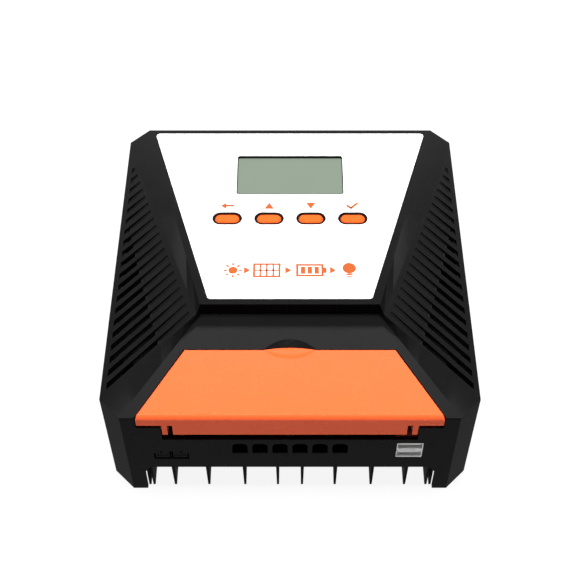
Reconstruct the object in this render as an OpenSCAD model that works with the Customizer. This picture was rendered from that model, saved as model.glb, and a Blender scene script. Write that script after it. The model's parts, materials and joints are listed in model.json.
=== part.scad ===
// Wall-mounted solar charge controller: a faceted two-part case with a hinged terminal cover,
// a display panel with four keys, a finned heat sink and the electronics between them.
// The part lies on its wall face: +Z points out of the wall, the wires enter at the -Y end,
// and the display is at the +Y end. The origin is the centre of the wall face.

/* [Case] */
// Overall width, side to side
case_w = 190; // [188:0.5:194]
// Overall length, wire end to display end
case_l = 202.6; // [200:0.1:206]
// Height of the rim above the wall
case_h = 71.3; // [70.5:0.1:72]
// Corner cut of the outline, measured along each side
corner_cut = 10.6; // [8:0.1:12]
// Thickness of the side walls
wall = 2.1; // [1.8:0.1:2.4]
// Thickness of the top skin
skin = 2.6; // [2.2:0.1:2.8]
// Height of the bottom edge of the two end walls
end_edge_z = 22.8; // [22:0.1:23.5]
// Gap at the parting line under the rim
parting_gap = 0.3; // [0.2:0.05:0.5]

/* [Faceted top] */
// Distance of the step from the wire end
step_y = 70.5; // [69:0.1:72]
// Half-width of the raised panel at the step
waist_x = 47.8; // [46:0.1:49]
// Fall of the lower zone for each millimetre away from the wire end
low_slope = 0.1234; // [0.11:0.0001:0.13]
// Half-width at the inner corner of each wing
wing_x = 49.9; // [49:0.1:51]
// Distance of the wing corner from the wire end
wing_y = 66.5; // [65:0.1:68]
// Drop of the wing corner below the rim
wing_drop = 3.6; // [3.2:0.1:4]

/* [Vents] */
// Number of slots in each wing
vent_count = 20; // [10:1:20]
// Distance between slots along the side
vent_pitch = 7.88; // [7.5:0.02:7.9]
// Width of a slot along the side
vent_w = 4.2; // [3.5:0.1:4.5]
// Depth of the longest slot at the rim
vent_depth = 5.2; // [4:0.1:6]
// Depth of a slot at its inner end
vent_end_depth = 0.8; // [0.5:0.1:1]

/* [Display panel] */
// Thickness of the white face plate
plate_t = 1; // [0.8:0.1:1.2]
// Width of the display window
window_w = 61.6; // [58:0.1:64]
// Height of the display window
window_l = 30.8; // [28:0.1:32]
// Distance of the window centre from the wire end
window_y = 165.6; // [164:0.1:166]
// Distance of the key row from the wire end
key_y = 131.6; // [130:0.1:133]
// Distance between keys
key_pitch = 23.6; // [22:0.1:25]
// Width of a key cap
key_w = 13.8; // [12:0.1:14]
// Height of a key cap
key_l = 6.4; // [6:0.1:7]
// Width of the black collar and the gap round a key cap
key_gap = 1.45; // [1:0.05:1.5]

/* [Terminal cover] */
// Half-width of the cover at the wire end
cover_front_x = 76.5; // [75:0.1:77]
// Half-width of the cover at its back edge
cover_back_x = 54.8; // [53:0.1:56]
// Length of the cover from the wire end
cover_l = 44.6; // [43:0.1:46]
// Thickness of the cover
cover_t = 2.8; // [2.6:0.1:3]
// Gap round the cover
cover_gap = 0.6; // [0.4:0.05:0.7]
// Height of the hinge axis
hinge_z = 58.2; // [58:0.1:58.5]
// Distance of the hinge axis from the wire end
hinge_y = 3; // [2.9:0.1:3.2]
// Radius of the hinge pins
pin_r = 1.25; // [1:0.05:1.5]

/* [Terminals] */
// Number of wire terminals
pole_count = 6; // [6:1:6]
// Distance between terminals
pole_pitch = 10.27; // [10.1:0.01:10.4]
// Travel of a rising clamp
clamp_travel = 6; // [4:0.5:6]
// Radius of a terminal screw
clamp_screw_r = 2.5; // [2:0.1:2.6]

/* [Heat sink] */
// Thickness of the base plate
sink_t = 3.5; // [3:0.1:3.6]
// Thickness of a fin at its root
fin_root = 1.9; // [1.6:0.1:2.2]
// Thickness of a fin at its tip
fin_tip = 1.2; // [1:0.1:1.5]

/* [Mounting] */
// Distance between mounting holes across the case
mount_w = 168; // [166:0.5:169]
// Distance between mounting holes along the case
mount_l = 176.6; // [174:0.1:178]
// Radius of the mounting holes
mount_r = 2.1; // [1.8:0.1:2.3]
// Depth of the mounting holes
mount_depth = 14; // [10:1:18]

/* [Hidden] */
$fn = 48;
eps = 0.01;

black = [0.13, 0.13, 0.14];
dark = [0.07, 0.07, 0.08];
orange = [0.99, 0.50, 0.22];
metal = [0.78, 0.79, 0.8];
copper = [0.72, 0.42, 0.2];
board_green = [0.05, 0.3, 0.18];

// Levels above the wall face
rim_bottom = case_h - 1.4;
wall_top = rim_bottom - parting_gap;
skirt_z = 59.4;
skirt_t = 1.8;
sink_z = end_edge_z + 0.1;
sink_top = sink_z + sink_t;
ledge_z = sink_top + 0.1;
ledge_t = 2.7;
board_t = 1.6;
board_z = ledge_z + ledge_t + 0.2;
board_top = board_z + board_t;

// Outline of the case
strips = 8;

// Vent slots: start behind the corner cut, inset from the rim, border at the wing's back edge
vent_start = 5.7;
vent_inset = 2.6;
vent_border = 3.2;
vent_full_l = 42;

// Open ends under the end walls
leg_x = 76.65;
opening_x = 73.1;
opening_z = 17.3;

// Screws that join the heat sink and the two parts of the case
screw_rows = [24, 101.3, 178.6];
sink_screw_x = 68.5;
sink_screw_r = 1.6;
boss_r = 3.9;
boss_top = 36;
corner_screw_x = 85;
corner_screw_rows = [40, 162.6];
corner_screw_r = 1.3;
corner_post_r = 3.6;
corner_post_top = 68.2;
ledge_x = 64;
ledge_end = 12;
mount_rows = [(case_l - mount_l) / 2, (case_l + mount_l) / 2];
mount_post_r = 5.2;
web_half_t = 1.5;

// Heat sink fins
sink_x = 78;
sink_inset = wall + 0.15;
fin_x = [6.5, 24.2, 43.7, 61.8];
edge_fin_x = [73.4, 75.6];
edge_fin_t = 1.2;
bridge_w = 3;
bridge_h = 4;
fin_sink = 0.5;

// Main board and what it carries
board_x = 72;
board_y0 = wall + 0.6;
board_y1 = case_l - 8;
fixing_r = 1.25;
board_fixings = [for (x = [-56, 56], y = [34, 110, 182]) [x, y]];
capacitor_x = [-26, -5, 16, 37];
capacitor_y = [58, 79];
capacitor_r = 9;
capacitor_h = 24;
inductor_x = [-34, 22];
inductor_y = 146;
inductor_z = board_top + 12.3;
inductor_r = 14;
core_w = 8;
core_h = 10;
wire_t = 1.5;
winding_turns = 16;
transistor_places = [for (x = [-46, 46], y = [76, 92, 142, 158]) [x, y]];
transistor_fixings = [for (x = [-46, 46], y = [84, 150]) [x, y]];
pad_t = 0.4;
pad_border = 1;
transistor_half = [5, 4.5];
transistor_t = 2.2;
clip_half = [3, 2.3];
clip_t = 1.2;
fuse_x = [44, 58];
fuse_y = [88, 106];
fuse_half_w = 1.6;
fuse_holder_half_w = 4;
fuse_holder_h = 8;
fuse_h = 17;
shunt_x = [-58, -40];
shunt_y = [92, 96];
shunt_z = board_top + 3;
shunt_t = 1.5;
shunt_foot = 2;
// Centre, width and length of each chip
chips = [[-44, 124, 12, 12], [46, 128, 8, 8], [36, 176, 4, 8]];
chip_t = 1.5;

// Cover and notch
flange_z = 63.9;
flap_z = hinge_z - 2.8;
flap_x = 58.7;
lug_x0 = 61.4;
lug_x1 = 64.1;
lug_r = 2.8;
pin_l = 9;
pin_clear = 0.06;
notch_x = lug_x1 + 0.6;
pillar_w = 6.5;
notch_z = 50.2;
upper_notch_z = 61.6;
round_r = 2.8;
round_drop = 0.17;
rib_x = [-44, -22, 0, 22, 44];
rib_half_w = 0.6;
rib_end = 30;
rib_h = 2;

// Terminal bay under the cover
bay_floor_z = notch_z;
bay_floor_t = 1.8;
bay_wall = 3.2;
bay_h = 22;
seat_clear = 0.4;

// Finger scoop at the back edge of the cover
scoop_half_w = 13.7;
scoop_half_l = 7.2;
scoop_y = 45.2;
scoop_depth = 1.9;
bulge = 2.9;
pad_x = 16;
pad_y = [43, 54];
pad_drop = 5.5;

// Terminal block
block_y0 = 6.6;
block_y1 = 26;
block_top = 59;
block_x = pole_count * pole_pitch / 2 + 0.6;
clamp_y = 15;
cage_half_w = 4.1;
cage_half_l = 4.2;
cage_clear = 0.3;
cage_z = 36.6;
window_z0 = 38;
window_z1 = 46.4;
cage_top = 48.4;
bar_z = window_z0 + clamp_travel + 0.9;
bar_t = 1.3;
bar_half_w = 2.9;
bar_end = 22.8;
cavity_top = cage_top + clamp_travel + 0.4;
head_z = cavity_top + 0.9;
head_h = 2.7;
head_r = 3.8;
wire_z0 = 36.9;
wire_z1 = 46.3;
wire_w = 7.9;
wire_depth = 20;
rib_top = 1.6;

// Ports beside the wire holes
usb_x = 61.35;
usb_w = 13.4;
usb_z0 = board_top + 0.2;
usb_mouth_z = 33.3;
usb_z1 = 46.9;
usb_depth = 17.5;
usb_slot_z = [usb_mouth_z + 0.6, usb_mouth_z + 8.1];
usb_slot_w = 12.4;
usb_slot_h = 4.9;
tongue_w = 11.2;
tongue_z = [2.6, 4.4];
port_clear = 0.15;
comm_x = [-65.9, -56.7];
comm_w = 8.7;
comm_z0 = board_top + 0.2;
comm_h = 5.9;
comm_depth = 11;
comm_groove = 0.65;
comm_groove_l = 6;
comm_key_w = 5.2;
comm_key_h = 1.8;
comm_pitch = 1.5;
comm_pin_z = comm_z0 + comm_h / 2 - 0.3;
pin_w = 0.6;

// Display stack, from the face plate down
plate_z = case_h - plate_t;
glass_t = 2.4;
glass_top = plate_z - 0.7;
glass_z = glass_top - glass_t;
glass_x = 35.5;
glass_y = 18;
bezel_lip = 0.4;
window_r = 1.5;
frame_h = 6.9;
frame_open_x = 32;
frame_open_y = 16;
frame_z = glass_z - frame_h;
display_board_t = 1.6;
display_board_z = frame_z - display_board_t - 0.1;
display_board_x = 58;
display_board_y = [116, 190];
display_screw_x = display_board_x - 5;
display_screw_y = [display_board_y[0] + 5, display_board_y[1] - 5];
display_screw_r = 1.1;
display_post_r = 2.8;
lcd_pin_pitch = 2.54;
ribbon_x = 14;
ribbon_y = 111;
header_x = 16;
header_half_l = 3;
header_h = 8;
upper_header_h = 6;
key_x = [-1.5, -0.5, 0.5, 1.5] * key_pitch;
key_t = 4.5;
tab_t = 1.2;
key_clear = 0.3;
tab_reach = 2.4;
tab_half_l = 2;
tab_drop = 5;
switch_z = display_board_z + display_board_t;
switch_half_w = 3;
switch_h = 3.6;
plunger_rest = 2.2;
plunger_r = 1.7;
plunger_top = switch_z + 5.1;

function low_z(y) = case_h - low_slope * y;
function mix(a, b, t) = a + (b - a) * t;
function case_outline(d) =
    let (x = case_w / 2 - d, c = corner_cut - d * (2 - sqrt(2)), y0 = d, y1 = case_l - d)
    [[-x + c, y0], [x - c, y0], [x, y0 + c], [x, y1 - c],
     [x - c, y1], [-x + c, y1], [-x, y1 - c], [-x, y0 + c]];
function mirrored(points) = [for (i = [len(points) - 1:-1:0]) [-points[i][0], points[i][1]]];
function arc(r, from, to, steps, centre) =
    [for (i = [0:steps]) centre + r * [cos(mix(from, to, i / steps)), sin(mix(from, to, i / steps))]];

// Everything is drawn with Y counted from the wire end, then centred
module centred() {
    translate([0, -case_l / 2, 0]) children();
}

module case_prism(d, z0, z1) {
    translate([0, 0, z0]) linear_extrude(z1 - z0) polygon(case_outline(d));
}

module slab(x0, x1, y0, y1, z0, z1) {
    translate([x0, y0, z0]) cube([x1 - x0, y1 - y0, z1 - z0]);
}

module both_sides() {
    children();
    mirror([1, 0, 0]) children();
}

module drill(x, y, z0, z1, r) {
    translate([x, y, z0]) cylinder(r = r, h = z1 - z0);
}

module stadium(w, l) {
    square([w - l, l], center = true);
    for (s = [-1, 1]) translate([s * (w - l) / 2, 0]) circle(d = l);
}

module rounded_rect(w, l, r) {
    square([w - 2 * r, l], center = true);
    square([w, l - 2 * r], center = true);
    for (sx = [-1, 1], sy = [-1, 1]) translate([sx * (w / 2 - r), sy * (l / 2 - r)]) circle(r = r);
}

// A prism over a plan outline whose top and bottom both follow the lower zone's slope
module sloped_prism(outline, lo, hi) {
    n = len(outline);
    bottom = [for (p = outline) [p[0], p[1], low_z(p[1]) + lo]];
    top = [for (p = outline) [p[0], p[1], low_z(p[1]) + hi]];
    walls = [for (i = [0:n - 1]) [i, (i + 1) % n, n + (i + 1) % n, n + i]];
    faces = concat([[for (i = [0:n - 1]) i]], [[for (i = [n - 1:-1:0]) n + i]],
                   [for (w = walls) [w[0], w[3], w[2], w[1]]]);
    polyhedron(concat(bottom, top), faces);
}

// The faceted top as a solid: a flat panel, a sloping lower zone, two wings, and the
// twisted facets that join them. drop lowers every facet, step moves the step back.
module faceted_solid(d, drop, step, bottom) {
    outline = case_outline(d);
    x_side = case_w / 2 - d;
    cut = corner_cut - d * (2 - sqrt(2));
    top_z = case_h - drop;
    wing = [wing_x, wing_y + step, case_h - wing_drop - drop];
    panel = [waist_x, step_y + step, top_z];
    low = [waist_x, step_y + step, low_z(step_y + step) - drop];
    back = [[x_side, case_l - d - cut, top_z], [x_side - cut, case_l - d, top_z]];
    front = [[x_side, d + cut, low_z(0) - drop], [x_side - cut, d, low_z(0) - drop]];
    function row(outer, inner) = [
        [-outer[0], outer[1], outer[2]], [-inner[0], inner[1], inner[2]],
        [inner[0], inner[1], inner[2]], [outer[0], outer[1], outer[2]]
    ];
    back_rows = [for (i = [0:strips])
        each row(mix(back[0], wing, i / strips), mix(back[1], panel, i / strips))];
    front_rows = [for (i = [0:strips])
        each row(mix(front[0], wing, i / strips), mix(front[1], low, i / strips))];
    base = [for (p = outline) [p[0], p[1], bottom]];
    f0 = 4 * (strips + 1);
    b0 = 2 * f0;
    function at_back(i, k) = 4 * i + k;
    function at_front(i, k) = (i == strips && (k == 0 || k == 3)) ? at_back(i, k) : f0 + 4 * i + k;
    strip_faces = [for (i = [0:strips - 1]) each [
        [at_back(i, 0), at_back(i, 1), at_back(i + 1, 0)],
        [at_back(i, 1), at_back(i + 1, 1), at_back(i + 1, 0)],
        [at_back(i, 1), at_back(i, 2), at_back(i + 1, 2), at_back(i + 1, 1)],
        [at_back(i, 3), at_back(i + 1, 3), at_back(i, 2)],
        [at_back(i, 2), at_back(i + 1, 3), at_back(i + 1, 2)],
        [at_front(i, 0), at_front(i + 1, 0), at_front(i, 1)],
        [at_front(i, 1), at_front(i + 1, 0), at_front(i + 1, 1)],
        [at_front(i, 1), at_front(i + 1, 1), at_front(i + 1, 2), at_front(i, 2)],
        [at_front(i, 3), at_front(i, 2), at_front(i + 1, 3)],
        [at_front(i, 2), at_front(i + 1, 2), at_front(i + 1, 3)]
    ]];
    wing_faces = [for (i = [0:strips - 1]) each i == strips - 1
        ? [[at_back(i, 0), at_back(i + 1, 0), at_front(i, 0)],
           [at_back(i, 3), at_front(i, 3), at_back(i + 1, 3)]]
        : [[at_back(i, 0), at_back(i + 1, 0), at_front(i + 1, 0), at_front(i, 0)],
           [at_back(i, 3), at_front(i, 3), at_front(i + 1, 3), at_back(i + 1, 3)]]];
    n = strips;
    step_faces = [
        [at_back(n, 1), at_back(n, 2), at_front(n, 2), at_front(n, 1)],
        [at_back(n, 0), at_back(n, 1), at_front(n, 1)],
        [at_back(n, 3), at_front(n, 2), at_back(n, 2)]
    ];
    rim = [at_front(0, 1), at_front(0, 2), at_front(0, 3), at_back(0, 3),
           at_back(0, 2), at_back(0, 1), at_back(0, 0), at_front(0, 0)];
    side_faces = [for (i = [0:7]) [rim[i], rim[(i + 1) % 8], b0 + (i + 1) % 8, b0 + i]];
    polyhedron(concat(back_rows, front_rows, base),
               concat(strip_faces, wing_faces, step_faces, side_faces, [[for (i = [0:7]) b0 + i]]));
}

// One ramp-floored vent slot in the right wing, parallel to the wing's front edge
module vent_slot(k) {
    run = [case_w / 2 - wing_x, wing_y - corner_cut];
    y0 = corner_cut + vent_start + k * vent_pitch;
    outer_x = case_w / 2 - vent_inset;
    wing_back = case_l - corner_cut;
    lean = (case_w / 2 - wing_x) / (wing_back - wing_y);
    // Distance inward at which a line starting at the rim at y meets the border of the wing
    function reach(y) = (outer_x - (case_w / 2 - (wing_back - y) * lean) - vent_border)
        / (1 + lean * run[1] / run[0]);
    function wing_top(x) = case_h - wing_drop * (case_w / 2 - x) / run[0];
    a = reach(y0);
    b = reach(y0 + vent_w);
    depth = vent_depth * mix(0.25, 1, min(1, a / vent_full_l));
    pts = [[outer_x, y0], [outer_x - a, y0 + a * run[1] / run[0]],
           [outer_x - b, y0 + vent_w + b * run[1] / run[0]], [outer_x, y0 + vent_w]];
    sink = [depth, vent_end_depth, vent_end_depth, depth];
    if (a > 1 && b > 1) {
        polyhedron(
            concat([for (i = [0:3]) [pts[i][0], pts[i][1], wing_top(pts[i][0]) - sink[i]]],
                   [for (p = pts) [p[0], p[1], case_h + 1]]),
            [[0, 3, 2], [0, 2, 1], [4, 5, 6, 7], [0, 1, 5, 4], [1, 2, 6, 5], [2, 3, 7, 6], [3, 0, 4, 7]]);
    }
}

// The shallow thumb scoop that the cover and the shell share
module scoop() {
    nx = 16;
    ny = 8;
    function half_l(x) = scoop_half_l * (1 - pow(x / scoop_half_w, 2));
    function dip(x, v) = scoop_depth * (1 - pow(x / scoop_half_w, 2)) * (1 - v * v);
    grid = [for (i = [0:nx], j = [0:ny]) let (
        x = mix(-scoop_half_w + 0.3, scoop_half_w - 0.3, i / nx),
        v = mix(-1, 1, j / ny), y = scoop_y + v * half_l(x)) [x, y, low_z(y) - dip(x, v)]];
    lid = [for (i = [0:nx], j = [0:ny]) let (p = grid[i * (ny + 1) + j]) [p[0], p[1], low_z(p[1]) + 1]];
    m = (nx + 1) * (ny + 1);
    function at(i, j) = i * (ny + 1) + j;
    floor_faces = [for (i = [0:nx - 1], j = [0:ny - 1]) each [
        [at(i, j), at(i + 1, j), at(i + 1, j + 1)], [at(i, j), at(i + 1, j + 1), at(i, j + 1)]]];
    lid_faces = [for (i = [0:nx - 1], j = [0:ny - 1]) each [
        [m + at(i, j), m + at(i + 1, j + 1), m + at(i + 1, j)],
        [m + at(i, j), m + at(i, j + 1), m + at(i + 1, j + 1)]]];
    side = concat(
        [for (i = [0:nx - 1]) [at(i, 0), m + at(i, 0), m + at(i + 1, 0), at(i + 1, 0)]],
        [for (i = [0:nx - 1]) [at(i + 1, ny), m + at(i + 1, ny), m + at(i, ny), at(i, ny)]],
        [for (j = [0:ny - 1]) [at(0, j + 1), m + at(0, j + 1), m + at(0, j), at(0, j)]],
        [for (j = [0:ny - 1]) [at(nx, j), m + at(nx, j), m + at(nx, j + 1), at(nx, j + 1)]]);
    polyhedron(concat(grid, lid), concat(floor_faces, lid_faces, side));
}

// Plan outline of the cover, grown by g
function cover_outline(g) =
    let (yb = cover_l + g,
         xb = cover_back_x + g,
         r = (pow(scoop_half_w, 2) + bulge * bulge) / (2 * bulge),
         a = asin(scoop_half_w / r))
    concat([[-cover_front_x - g, 0], [cover_front_x + g, 0], [xb, yb]],
           arc(r, 90 - a, 90 + a, 10, [0, yb + bulge - r]), [[-xb, yb]]);

// Outline of the bay under the cover, set in by d
function bay_outline(d) =
    let (lean = (cover_front_x - cover_back_x) / cover_l, y0 = block_y0 + 0.8, y1 = cover_l - d)
    [[-cover_front_x + lean * y0 + d, y0], [cover_front_x - lean * y0 - d, y0],
     [cover_back_x + lean * d - d, y1], [-cover_back_x - lean * d + d, y1]];

module wire_hole(w, z0, z1) {
    r = 2.8;
    translate([-w / 2, z0]) square([w, z1 - z0 - r]);
    translate([-w / 2 + r, z0]) square([w - 2 * r, z1 - z0]);
    for (s = [-1, 1]) translate([s * (w / 2 - r), z1 - r]) circle(r = r);
}

// Draws a child outline in the XZ plane and extrudes it from y0 to y1
module through_y(y0, y1) {
    translate([0, y1, 0]) rotate([90, 0, 0]) linear_extrude(y1 - y0) children();
}

module at_poles() {
    for (i = [0:pole_count - 1]) translate([(i - (pole_count - 1) / 2) * pole_pitch, 0, 0]) children();
}

module usb_outline(z0, grow) {
    translate([usb_x, (z0 + usb_z1) / 2]) rounded_rect(usb_w + 2 * grow, usb_z1 - z0 + 2 * grow, 0.6);
}

// Front outline of a data socket, with its keying rib on one side
module comm_outline(side, grow) {
    w = comm_w + 2 * grow;
    key_x0 = (side > 0 ? comm_w / 2 - comm_key_w : -comm_w / 2) - grow;
    translate([-w / 2, comm_z0 - grow]) square([w, comm_h + 2 * grow]);
    translate([key_x0, comm_z0 - grow])
        square([comm_key_w + 2 * grow, comm_h + comm_key_h + 2 * grow]);
}

module lower_housing() color(black) centred() {
    difference() {
        union() {
            difference() {
                case_prism(0, 0, wall_top);
                case_prism(wall, -1, wall_top + 1);
            }
            difference() {
                case_prism(wall - eps, ledge_z, ledge_z + ledge_t);
                slab(-ledge_x, ledge_x, ledge_end, case_l - ledge_end,
                     ledge_z - 1, ledge_z + ledge_t + 1);
            }
            both_sides() {
                for (y = screw_rows) drill(sink_screw_x, y, ledge_z, boss_top, boss_r);
                for (y = mount_rows) {
                    drill(mount_w / 2, y, 0, ledge_z + eps, mount_post_r);
                    slab(mount_w / 2, case_w / 2 - wall + eps, y - web_half_t, y + web_half_t,
                         0, ledge_z + eps);
                }
                slab(notch_x, notch_x + pillar_w, wall - eps, block_y0 + 0.3,
                     usb_z1 + 0.3, upper_notch_z - 0.2);
            }
        }
        // The ends are open below the end walls
        through_y(-1, case_l + 1) polygon([[-leg_x, -1], [leg_x, -1], [leg_x, opening_z],
            [opening_x, end_edge_z], [-opening_x, end_edge_z], [-leg_x, opening_z]]);
        // Notch for the terminal cover
        through_y(-1, wall + 1) polygon([[-notch_x, notch_z], [notch_x, notch_z],
            [notch_x, upper_notch_z], [cover_front_x + cover_gap, upper_notch_z],
            [cover_front_x + cover_gap, case_h], [-cover_front_x - cover_gap, case_h],
            [-cover_front_x - cover_gap, upper_notch_z], [-notch_x, upper_notch_z]]);
        at_poles() through_y(-1, wall + 1) wire_hole(wire_w, wire_z0, wire_z1);
        through_y(-1, wall + 1) usb_outline(usb_mouth_z, port_clear);
        for (i = [0, 1]) translate([comm_x[i], 0, 0])
            through_y(-1, wall + 1) comm_outline(1 - 2 * i, port_clear);
        both_sides() {
            for (y = screw_rows) drill(sink_screw_x, y, ledge_z - 1, boss_top - 1.5, sink_screw_r);
            for (y = corner_screw_rows)
                drill(corner_screw_x, y, ledge_z - 1, ledge_z + ledge_t + 1, corner_screw_r + 0.6);
            for (y = mount_rows) drill(mount_w / 2, y, -1, mount_depth, mount_r);
            translate([lug_x1, hinge_y, hinge_z]) rotate([0, 90, 0]) cylinder(r = pin_r, h = 6.4);
        }
    }
}

module plate_outline(g) {
    r = 2 + g;
    corners = [[44.9, 74.2], [80.9, 199.8]];
    inset = [[-2.6, 2], [-2.95, -2]];
    hull() for (i = [0, 1], s = [-1, 1])
        translate([s * (corners[i][0] + inset[i][0]), corners[i][1] + inset[i][1]])
            circle(r = r, $fn = 32);
}

module key_holes(w, l, z0, z1) {
    for (x = key_x) translate([x, key_y, z0]) linear_extrude(z1 - z0) stadium(w, l);
}

module top_shell() color(black) centred() {
    difference() {
        union() {
            difference() {
                faceted_solid(0, 0, 0, skirt_z);
                difference() {
                    case_prism(-1, skirt_z - 1, rim_bottom);
                    case_prism(wall + 0.3, skirt_z - 2, rim_bottom + 1);
                }
                faceted_solid(wall + 0.3 + skirt_t, skin, skin, skirt_z - 1);
            }
            // Walls and floor of the terminal bay
            difference() {
                intersection() {
                    translate([0, 0, bay_floor_z - bay_floor_t]) linear_extrude(20)
                        polygon(bay_outline(-bay_wall / 2));
                    sloped_prism(bay_outline(-bay_wall), -bay_h, -1);
                }
                slab(-flap_x, flap_x, 0, 12, bay_floor_z + 2, 70);
            }
            // Thicker skin behind the finger scoop
            sloped_prism([[-pad_x, pad_y[0]], [pad_x, pad_y[0]], [pad_x, pad_y[1]], [-pad_x, pad_y[1]]],
                         -pad_drop, -1);
            both_sides() for (y = corner_screw_rows)
                drill(corner_screw_x, y, ledge_z + ledge_t + 0.1, corner_post_top, corner_post_r);
            both_sides() for (y = display_screw_y)
                drill(display_screw_x, y, switch_z, case_h - skin + 0.2, display_post_r);
        }
        // Seat and opening for the cover
        sloped_prism(cover_outline(cover_gap), -cover_t - seat_clear, 5);
        intersection() {
            translate([0, 0, skirt_z - 2]) linear_extrude(20) polygon(cover_outline(cover_gap));
            slab(-case_w, case_w, -1, block_y0 + 0.3, 0, 99);
        }
        translate([0, 0, bay_floor_z]) linear_extrude(30) polygon(bay_outline(bay_wall / 2));
        slab(-block_x - 0.4, block_x + 0.4, block_y0 - 1, block_y1 + 0.4, bay_floor_z - 3, 70);
        scoop();
        both_sides() for (k = [0:vent_count - 1]) vent_slot(k);
        // Panel recess, display window and key holes
        translate([0, 0, plate_z]) linear_extrude(5) plate_outline(0.25);
        translate([0, window_y, case_h - 10]) linear_extrude(20)
            rounded_rect(2 * glass_x + 1.2, 2 * glass_y + 2.2, window_r);
        key_holes(key_w + 2 * key_clear, key_l + 2 * key_clear, case_h - 10, case_h + 1);
        both_sides() for (y = corner_screw_rows) drill(corner_screw_x, y, ledge_z, 60, corner_screw_r);
        both_sides() for (y = display_screw_y)
            drill(display_screw_x, y, display_board_z, case_h - skin - 0.5, display_screw_r);
    }
    // Collars that stand round the keys, through the holes of the face plate
    difference() {
        key_holes(key_w + 2 * key_gap - 0.2, key_l + 2 * key_gap - 0.2, plate_z - eps, case_h - 0.1);
        key_holes(key_w + 2 * key_clear, key_l + 2 * key_clear, plate_z - 1, case_h + 1);
    }
}

module face_plate() color("white") centred() {
    difference() {
        translate([0, 0, plate_z]) linear_extrude(plate_t) plate_outline(0);
        translate([0, window_y, plate_z - 1]) linear_extrude(5)
            rounded_rect(window_w, window_l, window_r);
        key_holes(key_w + 2 * key_gap, key_l + 2 * key_gap, plate_z - 1, case_h + 1);
    }
}

// Side profile of the cover: a sloping lid with a rounded edge and a flange down the front
module cover_profile(bottom) {
    slope_back = [cover_l + bulge + 1, low_z(cover_l + bulge + 1)];
    polygon([[0, bottom], [0, case_h - round_r], [round_r * 0.4, case_h - round_r],
             [round_r, low_z(round_r)], slope_back, slope_back - [0, cover_t],
             [cover_t, low_z(cover_t) - cover_t], [cover_t, bottom]]);
    intersection() {
        translate([round_r, case_h - round_r - round_drop]) circle(r = round_r);
        translate([0, case_h - round_r - round_drop]) square([round_r, round_r + 1]);
    }
}

module along_x(x0, x1) {
    translate([x0, 0, 0]) rotate([90, 0, 90]) linear_extrude(x1 - x0) children();
}

module terminal_cover() color(orange) centred() {
    difference() {
        union() {
            intersection() {
                along_x(-cover_front_x, cover_front_x) cover_profile(flange_z);
                translate([0, 0, 40]) linear_extrude(40) polygon(cover_outline(0));
            }
            along_x(-flap_x, flap_x) translate([0, flap_z]) square([cover_t, flange_z - flap_z + 1]);
            both_sides() {
                along_x(lug_x0, lug_x1) {
                    translate([hinge_y, hinge_z]) circle(r = lug_r);
                    translate([0, hinge_z]) square([cover_t + 0.6, flange_z - hinge_z + 1]);
                    translate([0, flap_z]) square([hinge_y, lug_r]);
                }
            }
            // Stiffening ribs under the lid
            for (x = rib_x) intersection() {
                slab(x - rib_half_w, x + rib_half_w, cover_t - 0.2, rib_end, flap_z, case_h);
                sloped_prism(cover_outline(0), -cover_t - rib_h, -1);
            }
        }
        both_sides() translate([lug_x0 - 1, hinge_y, hinge_z])
            rotate([0, 90, 0]) cylinder(r = pin_r + pin_clear, h = 5);
        scoop();
    }
}

module hinge_pins() color(metal) centred() {
    both_sides() translate([lug_x0 - 0.4, hinge_y, hinge_z])
        rotate([0, 90, 0]) cylinder(r = pin_r, h = pin_l);
}

module heat_sink() color(dark) centred() {
    difference() {
        through_y(sink_inset, case_l - sink_inset) {
            translate([-sink_x, sink_z]) square([2 * sink_x, sink_t]);
            for (s = [-1, 1], x = fin_x)
                polygon([[s * x - fin_root / 2, sink_z + fin_sink], [s * x - fin_tip / 2, 0],
                         [s * x + fin_tip / 2, 0], [s * x + fin_root / 2, sink_z + fin_sink]]);
            for (s = [-1, 1], x = edge_fin_x)
                translate([s * x - edge_fin_t / 2, 0]) square([edge_fin_t, sink_z + fin_sink]);
            // Bridge between the two fins at each edge
            for (s = [-1, 1])
                translate([s * (edge_fin_x[0] + edge_fin_x[1]) / 2 - bridge_w / 2, sink_z - bridge_h])
                    square([bridge_w, bridge_h + fin_sink]);
        }
        both_sides() for (y = screw_rows)
            drill(sink_screw_x, y, sink_z - 1, sink_top + 1, sink_screw_r + 0.1);
        for (p = board_fixings) drill(p[0], p[1], sink_z - 1, sink_top + 1, fixing_r);
        for (p = transistor_fixings) drill(p[0], p[1], sink_z + 1, sink_top + 1, fixing_r);
    }
}

// Pan-head screw with a cross recess, head down at z and shank pointing up
module screw_up(x, y, z, r, h) {
    translate([x, y, z]) difference() {
        union() {
            translate([0, 0, -2.2 * r * 0.6]) cylinder(r = 1.9 * r, h = 2.2 * r * 0.6);
            translate([0, 0, -eps]) cylinder(r = r, h = h);
        }
        for (a = [0, 90]) rotate(a) translate([-r, -r * 0.2, -3 * r]) cube([2 * r, r * 0.4, 2.4 * r]);
    }
}

// The same screw the other way up
module screw_down(x, y, z, r, h) {
    translate([x, y, z]) mirror([0, 0, 1]) screw_up(0, 0, 0, r, h);
}

module housing_screws() color(metal) centred() {
    both_sides() for (y = screw_rows) screw_up(sink_screw_x, y, sink_z - eps, sink_screw_r, 10);
}

module cover_screws() color(metal) centred() {
    both_sides() for (y = corner_screw_rows) screw_up(corner_screw_x, y, ledge_z, corner_screw_r, 16);
}

module main_board() color(board_green) centred() {
    difference() {
        slab(-board_x, board_x, board_y0, board_y1, board_z, board_top);
        both_sides() for (y = screw_rows)
            drill(sink_screw_x, y, board_z - 1, board_top + 1, boss_r + 0.7);
        for (p = board_fixings) drill(p[0], p[1], board_z - 1, board_top + 1, fixing_r + 0.35);
    }
}

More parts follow.
